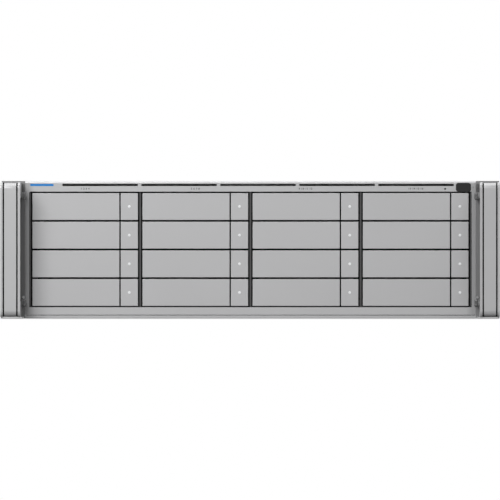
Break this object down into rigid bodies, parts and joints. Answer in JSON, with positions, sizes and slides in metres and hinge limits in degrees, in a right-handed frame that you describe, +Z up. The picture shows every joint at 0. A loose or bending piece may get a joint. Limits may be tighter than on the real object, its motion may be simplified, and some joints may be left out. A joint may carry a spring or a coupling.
{
  "type": "nas storage server",
  "caption": "Rack-mount storage server with a grid of pull-out drive trays, hinged ejector levers, release buttons, ear handles, rear fans and plug-in power modules.",
  "frame": {"origin": "middle of the footprint, on the plane the chassis stands on", "axes": "+Z up, -Y towards the front with the drive trays, +X to the right of a person facing the front"},
  "size_m": [0.4826, 0.537, 0.1331],
  "materials": {
    "silver_face": "satin",
    "silver_ear": "satin",
    "silver_sheet": "satin",
    "dark_steel": "satin",
    "bare_metal": "satin",
    "black_carrier": "matte",
    "black_plastic": "matte",
    "circuit_board": "satin",
    "dark_glass": "gloss"
  },
  "bodies": {
    "chassis": {"chassis_base": "silver_sheet", "top_cover": "silver_sheet", "front_bezel": "silver_face", "status_display": "dark_glass", "drive_cage": "dark_steel", "mainboard": "circuit_board", "rack_ears": "silver_ear", "fan_frames": "black_plastic"},
    "drive_tray_11": {"drive_tray_11": "black_carrier"},
    "tray_lever_11": {"tray_lever_11": "silver_face"},
    "release_button_11": {"release_button_11": "silver_face"},
    "drive_tray_12": {"drive_tray_12": "black_carrier"},
    "tray_lever_12": {"tray_lever_12": "silver_face"},
    "release_button_12": {"release_button_12": "silver_face"},
    "drive_tray_13": {"drive_tray_13": "black_carrier"},
    "tray_lever_13": {"tray_lever_13": "silver_face"},
    "release_button_13": {"release_button_13": "silver_face"},
    "drive_tray_14": {"drive_tray_14": "black_carrier"},
    "tray_lever_14": {"tray_lever_14": "silver_face"},
    "release_button_14": {"release_button_14": "silver_face"},
    "drive_tray_21": {"drive_tray_21": "black_carrier"},
    "tray_lever_21": {"tray_lever_21": "silver_face"},
    "release_button_21": {"release_button_21": "silver_face"},
    "drive_tray_22": {"drive_tray_22": "black_carrier"},
    "tray_lever_22": {"tray_lever_22": "silver_face"},
    "release_button_22": {"release_button_22": "silver_face"},
    "drive_tray_23": {"drive_tray_23": "black_carrier"},
    "tray_lever_23": {"tray_lever_23": "silver_face"},
    "release_button_23": {"release_button_23": "silver_face"},
    "drive_tray_24": {"drive_tray_24": "black_carrier"},
    "tray_lever_24": {"tray_lever_24": "silver_face"},
    "release_button_24": {"release_button_24": "silver_face"},
    "drive_tray_31": {"drive_tray_31": "black_carrier"},
    "tray_lever_31": {"tray_lever_31": "silver_face"},
    "release_button_31": {"release_button_31": "silver_face"},
    "drive_tray_32": {"drive_tray_32": "black_carrier"},
    "tray_lever_32": {"tray_lever_32": "silver_face"},
    "release_button_32": {"release_button_32": "silver_face"},
    "drive_tray_33": {"drive_tray_33": "black_carrier"},
    "tray_lever_33": {"tray_lever_33": "silver_face"},
    "release_button_33": {"release_button_33": "silver_face"},
    "drive_tray_34": {"drive_tray_34": "black_carrier"},
    "tray_lever_34": {"tray_lever_34": "silver_face"},
    "release_button_34": {"release_button_34": "silver_face"},
    "drive_tray_41": {"drive_tray_41": "black_carrier"},
    "tray_lever_41": {"tray_lever_41": "silver_face"},
    "release_button_41": {"release_button_41": "silver_face"},
    "drive_tray_42": {"drive_tray_42": "black_carrier"},
    "tray_lever_42": {"tray_lever_42": "silver_face"},
    "release_button_42": {"release_button_42": "silver_face"},
    "drive_tray_43": {"drive_tray_43": "black_carrier"},
    "tray_lever_43": {"tray_lever_43": "silver_face"},
    "release_button_43": {"release_button_43": "silver_face"},
    "drive_tray_44": {"drive_tray_44": "black_carrier"},
    "tray_lever_44": {"tray_lever_44": "silver_face"},
    "release_button_44": {"release_button_44": "silver_face"},
    "fan_rotor_1": {"fan_rotor_1": "black_plastic"},
    "fan_rotor_2": {"fan_rotor_2": "black_plastic"},
    "psu_module_1": {"psu_module_1": "bare_metal"},
    "psu_module_2": {"psu_module_2": "bare_metal"}
  },
  "joints": [
    {"name": "tray_slide_11", "type": "slide", "parent": "chassis", "child": "drive_tray_11", "axis": [0, -1, 0], "range_m": [0, 0.17]},
    {"name": "lever_hinge_11", "type": "hinge", "parent": "drive_tray_11", "child": "tray_lever_11", "pos_m": [-0.2036, -0.2269, 0.10832], "axis": [0, 0, -1], "range_deg": [0, 65]},
    {"name": "button_press_11", "type": "slide", "parent": "drive_tray_11", "child": "release_button_11", "axis": [0, 1, 0], "range_m": [0, 0.0015], "stiffness_N_per_m": 900, "springref_m": -0.001},
    {"name": "tray_slide_12", "type": "slide", "parent": "chassis", "child": "drive_tray_12", "axis": [0, -1, 0], "range_m": [0, 0.17]},
    {"name": "lever_hinge_12", "type": "hinge", "parent": "drive_tray_12", "child": "tray_lever_12", "pos_m": [-0.0967, -0.2269, 0.10832], "axis": [0, 0, -1], "range_deg": [0, 65]},
    {"name": "button_press_12", "type": "slide", "parent": "drive_tray_12", "child": "release_button_12", "axis": [0, 1, 0], "range_m": [0, 0.0015], "stiffness_N_per_m": 900, "springref_m": -0.001},
    {"name": "tray_slide_13", "type": "slide", "parent": "chassis", "child": "drive_tray_13", "axis": [0, -1, 0], "range_m": [0, 0.17]},
    {"name": "lever_hinge_13", "type": "hinge", "parent": "drive_tray_13", "child": "tray_lever_13", "pos_m": [0.0102, -0.2269, 0.10832], "axis": [0, 0, -1], "range_deg": [0, 65]},
    {"name": "button_press_13", "type": "slide", "parent": "drive_tray_13", "child": "release_button_13", "axis": [0, 1, 0], "range_m": [0, 0.0015], "stiffness_N_per_m": 900, "springref_m": -0.001},
    {"name": "tray_slide_14", "type": "slide", "parent": "chassis", "child": "drive_tray_14", "axis": [0, -1, 0], "range_m": [0, 0.17]},
    {"name": "lever_hinge_14", "type": "hinge", "parent": "drive_tray_14", "child": "tray_lever_14", "pos_m": [0.1171, -0.2269, 0.10832], "axis": [0, 0, -1], "range_deg": [0, 65]},
    {"name": "button_press_14", "type": "slide", "parent": "drive_tray_14", "child": "release_button_14", "axis": [0, 1, 0], "range_m": [0, 0.0015], "stiffness_N_per_m": 900, "springref_m": -0.001},
    {"name": "tray_slide_21", "type": "slide", "parent": "chassis", "child": "drive_tray_21", "axis": [0, -1, 0], "range_m": [0, 0.17]},
    {"name": "lever_hinge_21", "type": "hinge", "parent": "drive_tray_21", "child": "tray_lever_21", "pos_m": [-0.2036, -0.2269, 0.08052], "axis": [0, 0, -1], "range_deg": [0, 65]},
    {"name": "button_press_21", "type": "slide", "parent": "drive_tray_21", "child": "release_button_21", "axis": [0, 1, 0], "range_m": [0, 0.0015], "stiffness_N_per_m": 900, "springref_m": -0.001},
    {"name": "tray_slide_22", "type": "slide", "parent": "chassis", "child": "drive_tray_22", "axis": [0, -1, 0], "range_m": [0, 0.17]},
    {"name": "lever_hinge_22", "type": "hinge", "parent": "drive_tray_22", "child": "tray_lever_22", "pos_m": [-0.0967, -0.2269, 0.08052], "axis": [0, 0, -1], "range_deg": [0, 65]},
    {"name": "button_press_22", "type": "slide", "parent": "drive_tray_22", "child": "release_button_22", "axis": [0, 1, 0], "range_m": [0, 0.0015], "stiffness_N_per_m": 900, "springref_m": -0.001},
    {"name": "tray_slide_23", "type": "slide", "parent": "chassis", "child": "drive_tray_23", "axis": [0, -1, 0], "range_m": [0, 0.17]},
    {"name": "lever_hinge_23", "type": "hinge", "parent": "drive_tray_23", "child": "tray_lever_23", "pos_m": [0.0102, -0.2269, 0.08052], "axis": [0, 0, -1], "range_deg": [0, 65]},
    {"name": "button_press_23", "type": "slide", "parent": "drive_tray_23", "child": "release_button_23", "axis": [0, 1, 0], "range_m": [0, 0.0015], "stiffness_N_per_m": 900, "springref_m": -0.001},
    {"name": "tray_slide_24", "type": "slide", "parent": "chassis", "child": "drive_tray_24", "axis": [0, -1, 0], "range_m": [0, 0.17]},
    {"name": "lever_hinge_24", "type": "hinge", "parent": "drive_tray_24", "child": "tray_lever_24", "pos_m": [0.1171, -0.2269, 0.08052], "axis": [0, 0, -1], "range_deg": [0, 65]},
    {"name": "button_press_24", "type": "slide", "parent": "drive_tray_24", "child": "release_button_24", "axis": [0, 1, 0], "range_m": [0, 0.0015], "stiffness_N_per_m": 900, "springref_m": -0.001},
    {"name": "tray_slide_31", "type": "slide", "parent": "chassis", "child": "drive_tray_31", "axis": [0, -1, 0], "range_m": [0, 0.17]},
    {"name": "lever_hinge_31", "type": "hinge", "parent": "drive_tray_31", "child": "tray_lever_31", "pos_m": [-0.2036, -0.2269, 0.05272], "axis": [0, 0, -1], "range_deg": [0, 65]},
    {"name": "button_press_31", "type": "slide", "parent": "drive_tray_31", "child": "release_button_31", "axis": [0, 1, 0], "range_m": [0, 0.0015], "stiffness_N_per_m": 900, "springref_m": -0.001},
    {"name": "tray_slide_32", "type": "slide", "parent": "chassis", "child": "drive_tray_32", "axis": [0, -1, 0], "range_m": [0, 0.17]},
    {"name": "lever_hinge_32", "type": "hinge", "parent": "drive_tray_32", "child": "tray_lever_32", "pos_m": [-0.0967, -0.2269, 0.05272], "axis": [0, 0, -1], "range_deg": [0, 65]},
    {"name": "button_press_32", "type": "slide", "parent": "drive_tray_32", "child": "release_button_32", "axis": [0, 1, 0], "range_m": [0, 0.0015], "stiffness_N_per_m": 900, "springref_m": -0.001},
    {"name": "tray_slide_33", "type": "slide", "parent": "chassis", "child": "drive_tray_33", "axis": [0, -1, 0], "range_m": [0, 0.17]},
    {"name": "lever_hinge_33", "type": "hinge", "parent": "drive_tray_33", "child": "tray_lever_33", "pos_m": [0.0102, -0.2269, 0.05272], "axis": [0, 0, -1], "range_deg": [0, 65]},
    {"name": "button_press_33", "type": "slide", "parent": "drive_tray_33", "child": "release_button_33", "axis": [0, 1, 0], "range_m": [0, 0.0015], "stiffness_N_per_m": 900, "springref_m": -0.001},
    {"name": "tray_slide_34", "type": "slide", "parent": "chassis", "child": "drive_tray_34", "axis": [0, -1, 0], "range_m": [0, 0.17]},
    {"name": "lever_hinge_34", "type": "hinge", "parent": "drive_tray_34", "child": "tray_lever_34", "pos_m": [0.1171, -0.2269, 0.05272], "axis": [0, 0, -1], "range_deg": [0, 65]},
    {"name": "button_press_34", "type": "slide", "parent": "drive_tray_34", "child": "release_button_34", "axis": [0, 1, 0], "range_m": [0, 0.0015], "stiffness_N_per_m": 900, "springref_m": -0.001},
    {"name": "tray_slide_41", "type": "slide", "parent": "chassis", "child": "drive_tray_41", "axis": [0, -1, 0], "range_m": [0, 0.17]},
    {"name": "lever_hinge_41", "type": "hinge", "parent": "drive_tray_41", "child": "tray_lever_41", "pos_m": [-0.2036, -0.2269, 0.02492], "axis": [0, 0, -1], "range_deg": [0, 65]},
    {"name": "button_press_41", "type": "slide", "parent": "drive_tray_41", "child": "release_button_41", "axis": [0, 1, 0], "range_m": [0, 0.0015], "stiffness_N_per_m": 900, "springref_m": -0.001},
    {"name": "tray_slide_42", "type": "slide", "parent": "chassis", "child": "drive_tray_42", "axis": [0, -1, 0], "range_m": [0, 0.17]},
    {"name": "lever_hinge_42", "type": "hinge", "parent": "drive_tray_42", "child": "tray_lever_42", "pos_m": [-0.0967, -0.2269, 0.02492], "axis": [0, 0, -1], "range_deg": [0, 65]},
    {"name": "button_press_42", "type": "slide", "parent": "drive_tray_42", "child": "release_button_42", "axis": [0, 1, 0], "range_m": [0, 0.0015], "stiffness_N_per_m": 900, "springref_m": -0.001},
    {"name": "tray_slide_43", "type": "slide", "parent": "chassis", "child": "drive_tray_43", "axis": [0, -1, 0], "range_m": [0, 0.17]},
    {"name": "lever_hinge_43", "type": "hinge", "parent": "drive_tray_43", "child": "tray_lever_43", "pos_m": [0.0102, -0.2269, 0.02492], "axis": [0, 0, -1], "range_deg": [0, 65]},
    {"name": "button_press_43", "type": "slide", "parent": "drive_tray_43", "child": "release_button_43", "axis": [0, 1, 0], "range_m": [0, 0.0015], "stiffness_N_per_m": 900, "springref_m": -0.001},
    {"name": "tray_slide_44", "type": "slide", "parent": "chassis", "child": "drive_tray_44", "axis": [0, -1, 0], "range_m": [0, 0.17]},
    {"name": "lever_hinge_44", "type": "hinge", "parent": "drive_tray_44", "child": "tray_lever_44", "pos_m": [0.1171, -0.2269, 0.02492], "axis": [0, 0, -1], "range_deg": [0, 65]},
    {"name": "button_press_44", "type": "slide", "parent": "drive_tray_44", "child": "release_button_44", "axis": [0, 1, 0], "range_m": [0, 0.0015], "stiffness_N_per_m": 900, "springref_m": -0.001},
    {"name": "fan_spin_1", "type": "hinge", "parent": "chassis", "child": "fan_rotor_1", "pos_m": [-0.125, 0.2335, 0.0889], "axis": [0, 1, 0], "continuous": true},
    {"name": "fan_spin_2", "type": "hinge", "parent": "chassis", "child": "fan_rotor_2", "pos_m": [0.125, 0.2335, 0.0889], "axis": [0, 1, 0], "continuous": true},
    {"name": "psu_slide_1", "type": "slide", "parent": "chassis", "child": "psu_module_1", "axis": [0, 1, 0], "range_m": [0, 0.19]},
    {"name": "psu_slide_2", "type": "slide", "parent": "chassis", "child": "psu_module_2", "axis": [0, 1, 0], "range_m": [0, 0.19]}
  ]
}
